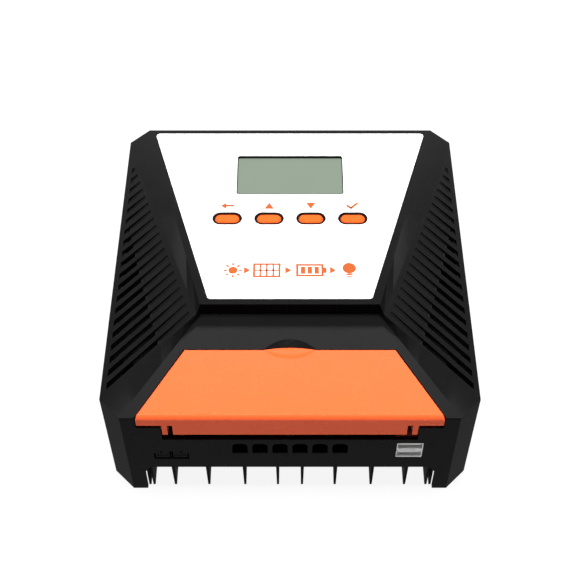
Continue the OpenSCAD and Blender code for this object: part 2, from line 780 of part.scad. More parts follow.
module board_standoffs() color(metal) centred() {
    for (p = board_fixings) difference() {
        drill(p[0], p[1], sink_top, board_z, 3);
        drill(p[0], p[1], sink_top - 1, board_z + 1, fixing_r + 0.35);
    }
}

module board_screws() color(metal) centred() {
    for (p = board_fixings) screw_down(p[0], p[1], board_top, fixing_r, 6.5);
}

module terminal_block() color(dark) centred() {
    difference() {
        union() {
            slab(-block_x, block_x, block_y0, block_y1, board_top, block_top);
            for (i = [0:pole_count]) {
                x = (i - pole_count / 2) * pole_pitch;
                slab(x - 0.5, x + 0.5, block_y0, block_y1, block_top - 1, block_top + rib_top);
            }
        }
        at_poles() {
            through_y(block_y0 - 1, wire_depth) wire_hole(wire_w, wire_z0 + 0.3, wire_z1);
            slab(-cage_half_w - cage_clear, cage_half_w + cage_clear,
                 clamp_y - cage_half_l - cage_clear, clamp_y + cage_half_l + cage_clear,
                 cage_z - cage_clear, cavity_top);
            slab(-bar_half_w - 0.2, bar_half_w + 0.2, clamp_y, bar_end + 0.4,
                 board_top - 1, bar_z + bar_t + 0.2);
            drill(0, clamp_y, cavity_top - 1, head_z + 1, clamp_screw_r + 0.3);
            drill(0, clamp_y, head_z - 0.1, block_top + 2, head_r + 0.35);
        }
    }
}

// Fixed bar of each terminal, running back and down to the board
module contact_bars() color(copper) centred() {
    at_poles() {
        slab(-bar_half_w, bar_half_w, clamp_y - cage_half_l - cage_clear, bar_end,
             bar_z, bar_z + bar_t);
        slab(-bar_half_w, bar_half_w, bar_end - bar_t, bar_end, board_top, bar_z + bar_t);
    }
}

module terminal_screw(i) color(metal) centred() {
    translate([(i - 1 - (pole_count - 1) / 2) * pole_pitch, clamp_y, 0]) difference() {
        union() {
            translate([0, 0, head_z]) cylinder(r = head_r, h = head_h);
            translate([0, 0, bar_z + bar_t + 0.15])
                cylinder(r = clamp_screw_r, h = head_z - bar_z - bar_t);
        }
        for (a = [0, 90]) rotate(a) translate([-2.8, -0.5, head_z + 1.1]) cube([5.6, 1, 3]);
    }
}

module clamp(i) color([0.6, 0.6, 0.58]) centred() {
    translate([(i - 1 - (pole_count - 1) / 2) * pole_pitch, clamp_y, 0]) difference() {
        slab(-cage_half_w, cage_half_w, -cage_half_l, cage_half_l, cage_z, cage_top);
        slab(-3.2, 3.2, -6, 6, window_z0, window_z1);
        drill(0, 0, window_z1 - 1, cage_top + 1, clamp_screw_r + 0.06);
    }
}

module terminal_screw_1() terminal_screw(1);
module terminal_screw_2() terminal_screw(2);
module terminal_screw_3() terminal_screw(3);
module terminal_screw_4() terminal_screw(4);
module terminal_screw_5() terminal_screw(5);
module terminal_screw_6() terminal_screw(6);
module clamp_1() clamp(1);
module clamp_2() clamp(2);
module clamp_3() clamp(3);
module clamp_4() clamp(4);
module clamp_5() clamp(5);
module clamp_6() clamp(6);

module usb_shell() color(metal) centred() {
    difference() {
        union() {
            through_y(0, usb_depth) usb_outline(usb_mouth_z, 0);
            through_y(wall + port_clear, usb_depth) usb_outline(usb_z0, 0);
        }
        for (z = usb_slot_z)
            slab(usb_x - usb_slot_w / 2, usb_x + usb_slot_w / 2, -1, usb_depth - 2, z, z + usb_slot_h);
    }
}

module usb_tongues() color("white") centred() {
    for (z = usb_slot_z)
        slab(usb_x - tongue_w / 2, usb_x + tongue_w / 2, 0.9, usb_depth - 2,
             z + tongue_z[0], z + tongue_z[1]);
}

module comm_sockets() color(dark) centred() {
    for (i = [0, 1]) translate([comm_x[i], 0, 0]) difference() {
        union() {
            through_y(0.5, comm_groove_l + eps) comm_outline(1 - 2 * i, -comm_groove);
            through_y(comm_groove_l, comm_depth) comm_outline(1 - 2 * i, 0);
        }
        translate([0, -5, 0]) comm_pin_row(port_clear);
        comm_pin_row(port_clear);
    }
}

// Four contact pins running out of the back of a socket, grown by a clearance
module comm_pin_row(grow) {
    for (k = [-1.5:1.5])
        slab(k * comm_pitch - pin_w / 2 - grow, k * comm_pitch + pin_w / 2 + grow,
             1.5, comm_depth + 1.2, comm_pin_z - grow, comm_pin_z + pin_w + grow);
}

module comm_pins() color("gold") centred() {
    for (x = comm_x) translate([x, 0, 0]) comm_pin_row(0);
}

// Key cap with retaining tabs under the skin and a stem down to its switch
module key(i) color(orange) centred() {
    translate([key_x[i], key_y, 0]) {
        translate([0, 0, case_h - key_t]) linear_extrude(key_t) stadium(key_w, key_l);
        slab(-key_w / 2 - tab_reach, key_w / 2 + tab_reach, -tab_half_l, tab_half_l,
             case_h - tab_drop, case_h - tab_drop + tab_t);
        drill(0, 0, plunger_top, case_h - 4.8, plunger_r + 0.2);
    }
}

module key_back() key(0);
module key_up() key(1);
module key_down() key(2);
module key_enter() key(3);

// Switch stem, pushed down by its key
module plunger(i) color("dimgray") centred() {
    drill(key_x[i], key_y, switch_z + plunger_rest, plunger_top, plunger_r);
}

module plunger_back() plunger(0);
module plunger_up() plunger(1);
module plunger_down() plunger(2);
module plunger_enter() plunger(3);

module switch_bodies() color(metal) centred() {
    for (x = key_x) difference() {
        slab(x - switch_half_w, x + switch_half_w, key_y - switch_half_w, key_y + switch_half_w,
             switch_z, switch_z + switch_h);
        drill(x, key_y, switch_z + 1, switch_z + switch_h + 1, plunger_r + 0.3);
    }
}

module display_board() color(board_green) centred() {
    difference() {
        slab(-display_board_x, display_board_x, display_board_y[0], display_board_y[1],
             display_board_z, switch_z);
        both_sides() for (y = display_screw_y)
            drill(display_screw_x, y, display_board_z - 1, switch_z + 1, display_screw_r + 0.2);
    }
}

module display_board_screws() color(metal) centred() {
    both_sides() for (y = display_screw_y)
        screw_up(display_screw_x, y, display_board_z, display_screw_r, 6);
}

// Black surround between the glass and the face plate, with a thin lip inside the window
module lcd_bezel() color(black) centred() {
    difference() {
        union() {
            slab(-glass_x, glass_x, window_y - glass_y, window_y + glass_y, glass_top, plate_z - 0.05);
            translate([0, window_y, glass_top]) linear_extrude(case_h - 0.1 - glass_top)
                rounded_rect(window_w - 0.1, window_l - 0.1, window_r);
        }
        translate([0, window_y, glass_top - 1]) linear_extrude(5)
            rounded_rect(window_w - 2 * bezel_lip, window_l - 2 * bezel_lip, window_r - bezel_lip);
    }
}

module lcd_glass() color([0.59, 0.64, 0.57]) centred() {
    slab(-glass_x, glass_x, window_y - glass_y, window_y + glass_y, glass_z, glass_top);
}

module lcd_frame() color("ivory") centred() {
    difference() {
        slab(-glass_x - 0.5, glass_x + 0.5, window_y - glass_y - 1, window_y + glass_y + 1,
             frame_z, glass_z);
        slab(-frame_open_x, frame_open_x, window_y - frame_open_y, window_y + frame_open_y,
             frame_z + 2, glass_z + 1);
    }
}

module lcd_pins() color("gold") centred() {
    for (k = [-11:11])
        slab(k * lcd_pin_pitch - pin_w / 2, k * lcd_pin_pitch + pin_w / 2,
             window_y + frame_open_y, window_y + frame_open_y + pin_w, switch_z, frame_z);
}

module ribbon_cable() color("lightgray") centred() {
    slab(-ribbon_x, ribbon_x, ribbon_y - 0.5, ribbon_y + 0.5,
         board_top + header_h, display_board_z - upper_header_h);
}

// A header on each board: the upper one reaches forward under the edge of its board
module ribbon_headers() color(dark) centred() {
    slab(-header_x, header_x, ribbon_y - header_half_l, ribbon_y + header_half_l,
         board_top, board_top + header_h);
    difference() {
        slab(-header_x, header_x, ribbon_y - header_half_l, ribbon_y + 3 * header_half_l,
             display_board_z - upper_header_h, display_board_z);
        slab(-header_x - 1, header_x + 1, ribbon_y - header_half_l - 1, display_board_y[0] - 0.5,
             display_board_z - upper_header_h / 2, display_board_z + 1);
    }
}

module capacitors() color([0.12, 0.16, 0.3]) centred() {
    for (x = capacitor_x, y = capacitor_y) {
        drill(x, y, board_top, board_top + capacitor_h, capacitor_r);
        drill(x, y, board_top + capacitor_h - 1, board_top + capacitor_h + 0.5, capacitor_r - 0.8);
    }
}

module inductor_cores() color([0.85, 0.75, 0.3]) centred() {
    for (x = inductor_x) translate([x, inductor_y, inductor_z])
        rotate_extrude() translate([inductor_r - core_w / 2, -core_h / 2]) square([core_w, core_h]);
}

module inductor_windings() color(copper) centred() {
    for (x = inductor_x, k = [0:winding_turns - 1])
        translate([x, inductor_y, inductor_z]) rotate(k * 360 / winding_turns)
            translate([inductor_r, 0, 0]) rotate([90, 0, 0])
            linear_extrude(wire_t, center = true) difference() {
                square([core_w + 2 * wire_t + 0.1, core_h + 2 * wire_t + 0.1], center = true);
                square([core_w + 0.1, core_h + 0.1], center = true);
            }
}

module transistors() color(dark) centred() {
    for (p = transistor_places)
        slab(p[0] - transistor_half[0], p[0] + transistor_half[0],
             p[1] - transistor_half[1], p[1] + transistor_half[1],
             sink_top + pad_t, sink_top + pad_t + transistor_t);
}

module thermal_pads() color("silver") centred() {
    for (p = transistor_places)
        slab(p[0] - transistor_half[0] - pad_border, p[0] + transistor_half[0] + pad_border,
             p[1] - transistor_half[1] - pad_border, p[1] + transistor_half[1] + pad_border,
             sink_top, sink_top + pad_t);
}

module transistor_bars() color(metal) centred() {
    difference() {
        for (p = transistor_fixings)
            slab(p[0] - clip_half[0], p[0] + clip_half[0], p[1] - clip_half[1], p[1] + clip_half[1],
                 sink_top, sink_top + clip_t);
        for (p = transistor_fixings)
            drill(p[0], p[1], sink_top - 1, sink_top + clip_t + 1, fixing_r + 0.05);
    }
}

module transistor_screws() color(metal) centred() {
    for (p = transistor_fixings) screw_down(p[0], p[1], sink_top + clip_t, fixing_r - 0.05, 3);
}

module fuse_holders() color("black") centred() {
    for (x = fuse_x)
        slab(x - fuse_holder_half_w, x + fuse_holder_half_w, fuse_y[0], fuse_y[1],
             board_top, board_top + fuse_holder_h);
}

module fuses() color("orange") centred() {
    for (x = fuse_x)
        slab(x - fuse_half_w, x + fuse_half_w, fuse_y[0] + 1, fuse_y[1] - 1,
             board_top + fuse_holder_h, board_top + fuse_h);
}

module current_shunt() color(copper) centred() {
    slab(shunt_x[0], shunt_x[1], shunt_y[0], shunt_y[1], shunt_z, shunt_z + shunt_t);
    for (x = [shunt_x[0], shunt_x[1] - shunt_foot])
        slab(x, x + shunt_foot, shunt_y[0], shunt_y[1], board_top, shunt_z + eps);
}

module control_chips() color(dark) centred() {
    for (c = chips)
        translate([c[0], c[1], board_top]) linear_extrude(chip_t) square([c[2], c[3]], center = true);
}

lower_housing();
top_shell();
face_plate();
terminal_cover();
hinge_pins();
heat_sink();
housing_screws();
cover_screws();
main_board();
board_standoffs();
board_screws();
terminal_block();
contact_bars();
terminal_screw_1();
terminal_screw_2();
terminal_screw_3();
terminal_screw_4();
terminal_screw_5();
terminal_screw_6();
clamp_1();
clamp_2();
clamp_3();
clamp_4();
clamp_5();
clamp_6();
usb_shell();
usb_tongues();
comm_sockets();
comm_pins();
key_back();
key_up();
key_down();
key_enter();
plunger_back();
plunger_up();
plunger_down();
plunger_enter();
switch_bodies();
display_board();
display_board_screws();
lcd_bezel();
lcd_glass();
lcd_frame();
lcd_pins();
ribbon_cable();
ribbon_headers();
capacitors();
inductor_cores();
inductor_windings();
transistors();
transistor_bars();
transistor_screws();
thermal_pads();
fuses();
fuse_holders();
current_shunt();
control_chips();
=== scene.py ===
"""Looks of a wall-mounted solar charge controller: materials, soft edges, key caps and printed marks."""
import json
import math

import bmesh
import bpy
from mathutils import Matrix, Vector


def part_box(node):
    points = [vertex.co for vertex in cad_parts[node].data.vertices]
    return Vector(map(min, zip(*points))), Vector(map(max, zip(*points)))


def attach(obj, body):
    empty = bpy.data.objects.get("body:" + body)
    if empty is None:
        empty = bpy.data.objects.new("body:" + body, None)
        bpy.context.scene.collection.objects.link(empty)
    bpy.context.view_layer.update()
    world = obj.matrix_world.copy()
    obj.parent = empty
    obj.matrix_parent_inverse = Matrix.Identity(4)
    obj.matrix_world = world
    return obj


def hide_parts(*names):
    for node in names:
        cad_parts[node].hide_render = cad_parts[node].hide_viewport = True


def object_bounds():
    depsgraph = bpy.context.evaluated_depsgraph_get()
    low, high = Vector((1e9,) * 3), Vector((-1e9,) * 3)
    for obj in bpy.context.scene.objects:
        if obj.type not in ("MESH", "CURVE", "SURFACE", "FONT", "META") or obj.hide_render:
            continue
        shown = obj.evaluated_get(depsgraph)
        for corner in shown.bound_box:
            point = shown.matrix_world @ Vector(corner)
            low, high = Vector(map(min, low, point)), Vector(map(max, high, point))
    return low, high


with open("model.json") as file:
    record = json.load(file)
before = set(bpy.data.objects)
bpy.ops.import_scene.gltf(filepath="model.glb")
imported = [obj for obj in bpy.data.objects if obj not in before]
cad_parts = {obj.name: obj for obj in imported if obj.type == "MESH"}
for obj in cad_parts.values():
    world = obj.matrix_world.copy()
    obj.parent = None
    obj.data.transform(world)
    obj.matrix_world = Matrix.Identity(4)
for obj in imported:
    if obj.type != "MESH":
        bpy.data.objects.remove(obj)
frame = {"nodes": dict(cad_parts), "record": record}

MM = 0.001
nodes = frame["nodes"]
cad_low, cad_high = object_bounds()


# ---------------------------------------------------------------- materials

class Shade:
    """One material's node tree, with short ways to add the patterns that the materials share."""

    def __init__(self, name, colour, rough, metallic=0.0, specular=0.5):
        self.material = bpy.data.materials.new(name)
        self.material.use_nodes = True
        self.tree = self.material.node_tree
        self.shader = self.tree.nodes["Principled BSDF"]
        self.colour = colour
        self.rough = rough
        self.shader.inputs["Metallic"].default_value = metallic
        self.shader.inputs["Specular IOR Level"].default_value = specular
        self.place = self.tree.nodes.new("ShaderNodeTexCoord").outputs["Object"]
        self.paint = colour
        self.normal = None

    def node(self, kind, **values):
        made = self.tree.nodes.new(kind)
        for key, value in values.items():
            setattr(made, key, value)
        return made

    def link(self, a, b):
        self.tree.links.new(a, b)

    def put(self, value, socket):
        """Links a pattern or sets a plain colour."""
        if isinstance(value, (tuple, list)):
            socket.default_value = (*value[:3], 1)
        else:
            self.link(value, socket)

    def noise(self, size, detail=2.0, stretch=(1, 1, 1)):
        """A noise pattern whose lumps are about size metres across."""
        scaled = self.node("ShaderNodeMapping")
        scaled.inputs["Scale"].default_value = stretch
        self.link(self.place, scaled.inputs["Vector"])
        made = self.node("ShaderNodeTexNoise")
        made.inputs["Scale"].default_value = 1 / size
        made.inputs["Detail"].default_value = detail
        self.link(scaled.outputs["Vector"], made.inputs["Vector"])
        return made.outputs["Fac"]

    def bricks(self, width, height, line):
        """Lines of a grid with cells of width by height metres."""
        made = self.node("ShaderNodeTexBrick", offset=0.0, squash=1.0)
        made.inputs["Scale"].default_value = 1.0
        made.inputs["Brick Width"].default_value = width
        made.inputs["Row Height"].default_value = height
        made.inputs["Mortar Size"].default_value = line
        self.link(self.place, made.inputs["Vector"])
        return made.outputs["Fac"]

    def span(self, value, low, high, at=(0.3, 0.7)):
        """Turns a pattern's values between the two at numbers into low to high."""
        made = self.node("ShaderNodeMapRange")
        for socket, number in zip(("From Min", "From Max", "To Min", "To Max"), (*at, low, high)):
            made.inputs[socket].default_value = number
        self.link(value, made.inputs["Value"])
        return made.outputs["Result"]

    def mix(self, factor, first, second):
        made = self.node("ShaderNodeMix", data_type="RGBA")
        self.link(factor, made.inputs["Factor"])
        self.put(first, made.inputs[6])
        self.put(second, made.inputs[7])
        return made.outputs[2]

    def mottle(self, size, amount):
        """Slow change of shade over the piece."""
        dark = [c * (1 - amount) for c in self.colour]
        light = [min(1, c * (1 + amount)) for c in self.colour]
        self.paint = self.mix(self.span(self.noise(size, 3), 0, 1), dark, light)

    def edge_wear_and_highlight(self, wear_and_highlight_colour, radius, amount=0.6):
        """Lighter colour along edges, broken up by noise: partly rubbed wear, partly a painted highlight
        where a rounded edge catches the light.
        """
        rounded = self.node("ShaderNodeBevel", samples=4)
        rounded.inputs["Radius"].default_value = radius
        flat = self.node("ShaderNodeNewGeometry")
        turn = self.node("ShaderNodeVectorMath", operation="DOT_PRODUCT")
        self.link(rounded.outputs["Normal"], turn.inputs[0])
        self.link(flat.outputs["Normal"], turn.inputs[1])
        edge = self.span(turn.outputs["Value"], amount, 0, at=(0.8, 0.99))
        patchy = self.node("ShaderNodeMath", operation="MULTIPLY")
        self.link(edge, patchy.inputs[0])
        self.link(self.span(self.noise(3 * MM, 2), 0.35, 1), patchy.inputs[1])
        self.paint = self.mix(patchy.outputs[0], self.paint, wear_and_highlight_colour)

    def vary_rough(self, size, amount, stretch=(1, 1, 1)):
        spread = self.span(self.noise(size, 3, stretch), self.rough - amount, self.rough + amount)
        self.link(spread, self.shader.inputs["Roughness"])

    def bump(self, height, depth, strength=0.6):
        """Relief depth metres high from a 0 to 1 pattern, on top of any relief made before."""
        made = self.node("ShaderNodeBump")
        made.inputs["Distance"].default_value = depth
        made.inputs["Strength"].default_value = strength
        self.link(height, made.inputs["Height"])
        if self.normal:
            self.link(self.normal, made.inputs["Normal"])
        self.normal = made.outputs["Normal"]

    def done(self):
        self.put(self.paint, self.shader.inputs["Base Color"])
        if self.normal:
            self.link(self.normal, self.shader.inputs["Normal"])
        return self.material


def plastic(name, colour, rough=0.5, grain=0.45, relief=0.03, mottle=0.06, specular=0.5, wear_and_highlight_colour=None):
    """Moulded plastic with an eroded-tool texture: grain is its size and relief its height, in mm."""
    s = Shade(name, colour, rough, specular=specular)
    s.mottle(18 * MM, mottle)
    # Lighter edges: partly wear, partly a painted edge highlight.
    if wear_and_highlight_colour:
        s.edge_wear_and_highlight(wear_and_highlight_colour, 0.5 * MM)
    s.vary_rough(9 * MM, 0.02)
    s.bump(s.noise(grain * MM, 2), relief * MM)
    return s.done()


def brushed(name, colour, rough=0.32, stretch=(1, 12, 12), metallic=1.0):
    """Metal with fine lines left by the tool."""
    s = Shade(name, colour, rough, metallic=metallic)
    s.mottle(6 * MM, 0.08)
    s.edge_wear_and_highlight([min(1, c * 1.15) for c in colour], 0.2 * MM)
    s.vary_rough(0.6 * MM, 0.1, stretch)
    s.bump(s.noise(0.35 * MM, 3, stretch), 0.01 * MM, 0.5)
    return s.done()


def anodised(name, colour, rough=0.42):
    """Black anodised extrusion: faint die lines run along Y."""
    s = Shade(name, colour, rough, metallic=0.6, specular=0.2)
    s.mottle(14 * MM, 0.12)
    s.edge_wear_and_highlight((0.12, 0.12, 0.12), 0.25 * MM)
    s.vary_rough(1.2 * MM, 0.07, (1, 0.02, 1))
    s.bump(s.noise(0.5 * MM, 2, (1, 0.01, 1)), 0.02 * MM, 0.5)
    return s.done()


def circuit_board(name):
    """Green solder mask over faint copper tracks."""
    s = Shade(name, (0.008, 0.075, 0.035), 0.32, specular=0.4)
    tracks = s.bricks(9 * MM, 4 * MM, 0.35 * MM)
    traced = s.mix(tracks, s.colour, (0.014, 0.13, 0.06))
    s.paint = s.mix(s.span(s.noise(3 * MM, 2), 0, 0.5), traced, (0.006, 0.06, 0.03))
    s.vary_rough(5 * MM, 0.05)
    s.bump(tracks, 0.03 * MM, 0.5)
    return s.done()


def display_surface(name):
    """Unlit display: even grey-green under a smooth top film."""
    s = Shade(name, (0.128, 0.158, 0.124), 0.3, specular=0.2)
    s.mottle(45 * MM, 0.008)
    s.vary_rough(30 * MM, 0.01)
    return s.done()


def winding(name):
    """Enamelled copper, with strands."""
    s = Shade(name, (0.4, 0.12, 0.035), 0.3, metallic=0.9)
    s.mottle(2 * MM, 0.2)
    s.vary_rough(1 * MM, 0.08)
    s.bump(s.noise(0.8 * MM, 1, (1, 1, 8)), 0.05 * MM)
    return s.done()


BLACK = (0.0055, 0.0055, 0.0057)
ORANGE = (0.9, 0.108, 0.026)

SURFACES = {
    # The case's lighter edges are partly wear and partly a painted highlight along its rounded edges.
    "case_black": plastic("case_black", BLACK, 0.26, grain=0.4, relief=0.008, mottle=0.04, specular=0.3,
                          wear_and_highlight_colour=(0.02, 0.02, 0.02)),
    "plate_white": plastic("plate_white", (0.8, 0.8, 0.8), 0.38, grain=0.3, relief=0.004, mottle=0.008),
    "cover_orange": plastic("cover_orange", ORANGE, 0.28, relief=0.004, mottle=0.01, specular=0.6),
    "key_orange": plastic("key_orange", (0.88, 0.096, 0.016), 0.34, grain=0.3, relief=0.005, mottle=0.03,
                          specular=0.12),
    "print_orange": plastic("print_orange", (0.36, 0.078, 0.02), 0.5, grain=0.3, relief=0.003, mottle=0.05,
                            specular=0.2),
    "sink_black": anodised("sink_black", (0.012, 0.012, 0.0125)),
    "steel": brushed("steel", (0.5, 0.5, 0.51)),
    "standoff_brass": brushed("standoff_brass", (0.6, 0.42, 0.16), 0.28),
    "board_green": circuit_board("board_green"),
    "block_black": plastic("block_black", (0.009, 0.009, 0.0095), 0.45, mottle=0.1, specular=0.2),
    "contact_copper": brushed("contact_copper", (0.6, 0.42, 0.3), 0.3),
    "terminal_screw_steel": brushed("terminal_screw_steel", (0.5, 0.5, 0.49), 0.28),
    "clamp_steel": brushed("clamp_steel", (0.36, 0.36, 0.35), 0.36),
    "usb_metal": brushed("usb_metal", (0.9, 0.9, 0.9), 0.3, (12, 1, 12), 0.25),
    "tongue_white": plastic("tongue_white", (0.75, 0.75, 0.73), 0.45, mottle=0.03),
    "pin_gold": brushed("pin_gold", (0.62, 0.42, 0.13), 0.25),
    "plunger_grey": plastic("plunger_grey", (0.05, 0.05, 0.05), 0.5),
    "switch_metal": brushed("switch_metal", (0.4, 0.4, 0.41), 0.35),
    "display_glass": display_surface("display_glass"),
    "ribbon_grey": plastic("ribbon_grey", (0.3, 0.3, 0.3), 0.5, mottle=0.1),
    "capacitor_sleeve": plastic("capacitor_sleeve", (0.012, 0.02, 0.06), 0.25, relief=0.004,
                                specular=0.3),
    "ferrite_yellow": plastic("ferrite_yellow", (0.4, 0.3, 0.05), 0.5, grain=1.2, relief=0.08),
    "enamel_copper": winding("enamel_copper"),
    "epoxy_black": plastic("epoxy_black", (0.01, 0.01, 0.01), 0.6, grain=0.3, relief=0.02,
                           specular=0.2),
    "bar_aluminium": brushed("bar_aluminium", (0.5, 0.5, 0.51), 0.35),
    "pad_grey": plastic("pad_grey", (0.2, 0.23, 0.26), 0.8, grain=0.8),
    "fuse_amber": plastic("fuse_amber", (0.5, 0.12, 0.01), 0.2, relief=0.004),
}


def paint(piece, look):
    piece.data.materials.clear()
    piece.data.materials.append(SURFACES[look])


for entry in frame["record"]["subparts"]:
    paint(nodes[entry["node"]], entry["material_slot"])


# ---------------------------------------------------------------- edges

def crease_group(degrees):
    """Geometry nodes that shade a mesh smooth, but hard at edges that turn by more than degrees."""
    group = bpy.data.node_groups.new(f"crease_{degrees}", "GeometryNodeTree")
    group.interface.new_socket("Geometry", in_out="INPUT", socket_type="NodeSocketGeometry")
    group.interface.new_socket("Geometry", in_out="OUTPUT", socket_type="NodeSocketGeometry")
    start = group.nodes.new("NodeGroupInput")
    end = group.nodes.new("NodeGroupOutput")
    forget = group.nodes.new("GeometryNodeRemoveAttribute")
    forget.inputs["Name"].default_value = "custom_normal"
    faces = group.nodes.new("GeometryNodeSetShadeSmooth")
    faces.domain = "FACE"
    edges = group.nodes.new("GeometryNodeSetShadeSmooth")
    edges.domain = "EDGE"
    edges.inputs["Shade Smooth"].default_value = False
    turn = group.nodes.new("GeometryNodeInputMeshEdgeAngle")
    over = group.nodes.new("FunctionNodeCompare")
    over.operation = "GREATER_THAN"
    over.inputs[1].default_value = math.radians(degrees)
    link = group.links.new
    link(start.outputs[0], forget.inputs["Geometry"])
    link(forget.outputs["Geometry"], faces.inputs["Geometry"])
    link(faces.outputs["Geometry"], edges.inputs["Geometry"])
    link(turn.outputs["Unsigned Angle"], over.inputs[0])
    link(over.outputs["Result"], edges.inputs["Selection"])
    link(edges.outputs["Geometry"], end.inputs[0])
    return group


CREASES = {12: crease_group(12), 25: crease_group(25)}
# Points closer than this are one point, and faces that turn by fewer degrees than this are one face
WELD_GAP = 0.002 * MM
FLAT_TURN = 0.3


def soften(name, width, segments=2, turn=25):
    """Rounds a CAD node's sharp edges, as a mould or a deburring tool leaves them."""
    piece = nodes[name]
    piece.modifiers.new("weld", "WELD").merge_threshold = WELD_GAP
    flat = piece.modifiers.new("flat", "DECIMATE")
    flat.decimate_type = "DISSOLVE"
    flat.angle_limit = math.radians(FLAT_TURN)
    piece.modifiers.new("crease", "NODES").node_group = CREASES[turn]
    rounding = piece.modifiers.new("round", "BEVEL")
    rounding.width = width
    rounding.segments = segments
    rounding.limit_method = "ANGLE"
    rounding.angle_limit = math.radians(turn + 3)
    rounding.use_clamp_overlap = True
    even = piece.modifiers.new("even", "WEIGHTED_NORMAL")
    even.mode = "FACE_AREA"
    even.keep_sharp = True


# Each node's edge width in millimetres, its segments, and the least turn in degrees that is an edge
EDGE_FINISH = {
    "top_shell": (0.25, 2, 12), "lower_housing": (0.35, 2, 25), "terminal_cover": (0.3, 2, 25),
    "face_plate": (0.12, 2, 25), "heat_sink": (0.15, 2, 25), "terminal_block": (0.2, 2, 25),
    "usb_shell": (0.14, 2, 25), "comm_sockets": (0.12, 2, 25), "inductor_windings": (0.55, 3, 25),
    "inductor_cores": (0.8, 3, 25), "capacitors": (0.5, 3, 25), "ribbon_headers": (0.2, 2, 25),
    "transistors": (0.25, 2, 25), "fuses": (0.25, 2, 25), "fuse_holders": (0.25, 2, 25),
    "contact_bars": (0.15, 2, 25), "control_chips": (0.15, 2, 25), "lcd_glass": (0.1, 2, 25),
}
for index in range(1, 7):
    EDGE_FINISH[f"terminal_screw_{index}"] = (0.25, 3, 25)
    EDGE_FINISH[f"clamp_{index}"] = (0.3, 3, 25)
for name, (width, segments, turn) in EDGE_FINISH.items():
    soften(name, width * MM, segments, turn)


# ---------------------------------------------------------------- pieces made here

def piece_from(name, build, look, body="root"):
    """A mesh piece that build() fills, riding on a body."""
    shape = bmesh.new()
    build(shape)
    bmesh.ops.recalc_face_normals(shape, faces=shape.faces)
    mesh = bpy.data.meshes.new(name)
    shape.to_mesh(mesh)
    shape.free()
    piece = bpy.data.objects.new(name, mesh)
    bpy.context.scene.collection.objects.link(piece)
    paint(piece, look)
    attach(piece, body)
    return piece


def rings_to_skin(shape, rings):
    """Joins rings of the same number of points into a closed skin with flat ends."""
    rows = [[shape.verts.new(p) for p in ring] for ring in rings]
    count = len(rings[0])
    for lower, upper in zip(rows, rows[1:]):
        for i in range(count):
            j = (i + 1) % count
            shape.faces.new((lower[i], lower[j], upper[j], upper[i])).smooth = True
    shape.faces.new(rows[0][::-1])
    shape.faces.new(rows[-1])


def circle(x, y, r, sides):
    return [(x + r * math.cos(a), y + r * math.sin(a))
            for a in (2 * math.pi * i / sides for i in range(sides))]


def block(shape, low, high):
    """A plain box between two corners, used inside other shapes."""
    xs, ys, zs = zip(low, high)
    ring = [(0, 0), (1, 0), (1, 1), (0, 1)]
    rings_to_skin(shape, [[(xs[i], ys[j], z) for i, j in ring] for z in zs])


# Key caps: a pillow edge on the stadium outline, with the CAD key's tabs and stem

KEYS = ("back", "up", "down", "enter")
KEY_HALF_W = 6.9 * MM
KEY_EDGE = 1.15 * MM
KEY_EDGE_STEPS = 8
KEY_SKIRT = 4.5 * MM
KEY_TAB_DROP = 5 * MM
KEY_TAB_T = 1.2 * MM
KEY_TAB_HALF_L = 2 * MM
KEY_STEM_R = 1.9 * MM
KEY_STEM_DROP = 4.8 * MM


def stadium_ring(x, y, half_w, half_l, inset, z, steps=14):
    radius = half_l - inset
    reach = half_w - half_l
    ring = []
    for side, start in ((1, -math.pi / 2), (-1, math.pi / 2)):
        for i in range(steps + 1):
            a = start + math.pi * i / steps
            ring.append((x + side * reach + radius * math.cos(a), y + radius * math.sin(a), z))
    return ring


def key_cap(name):
    low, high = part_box(f"key_{name}")
    x, y = (low.x + high.x) / 2, (low.y + high.y) / 2
    half_l = (high.y - low.y) / 2

    def build(shape):
        rings = [stadium_ring(x, y, KEY_HALF_W, half_l, 0, high.z - KEY_SKIRT)]
        for i in range(KEY_EDGE_STEPS + 1):
            a = math.pi / 2 * i / KEY_EDGE_STEPS
            inset, drop = KEY_EDGE * (1 - math.cos(a)), KEY_EDGE * (1 - math.sin(a))
            rings.append(stadium_ring(x, y, KEY_HALF_W, half_l, inset, high.z - drop))
        rings_to_skin(shape, rings)
        tab_z = high.z - KEY_TAB_DROP
        block(shape, (low.x, y - KEY_TAB_HALF_L, tab_z), (high.x, y + KEY_TAB_HALF_L, tab_z + KEY_TAB_T))
        stem = circle(x, y, KEY_STEM_R, 24)
        rings_to_skin(shape, [[(u, v, z) for u, v in stem] for z in (low.z, high.z - KEY_STEM_DROP)])

    made = piece_from(f"key_cap_{name}", build, "key_orange", f"key_{name}")
    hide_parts(f"key_{name}")


for key in KEYS:
    key_cap(key)


# Printed marks on the face plate, in millimetres

plate_low, plate_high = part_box("face_plate")
INK = 0.015 * MM
# Height of the key marks over the keys, and of the energy marks over the plate's front edge
KEY_MARK_RISE = 6.4
ENERGY_MARK_RISE = 19.6


def inked(shape, points):
    """One closed outline of ink on the face plate."""
    rings_to_skin(shape, [[(x * MM, y * MM, plate_high.z + z) for x, y in points] for z in (-INK, INK)])


def turned(corners, x, y, turn):
    c, s = math.cos(turn), math.sin(turn)
    return [(x + u * c - v * s, y + u * s + v * c) for u, v in corners]


def bar(shape, x, y, w, l, turn=0.0):
    corners = [(-w / 2, -l / 2), (w / 2, -l / 2), (w / 2, l / 2), (-w / 2, l / 2)]
    inked(shape, turned(corners, x, y, turn))


def triangle(shape, x, y, w, l, turn=0.0):
    """Points along +Y until it is turned."""
    inked(shape, turned([(-w / 2, -l / 2), (w / 2, -l / 2), (0, l / 2)], x, y, turn))


def disc(shape, x, y, r, sides=40):
    inked(shape, circle(x, y, r, sides))


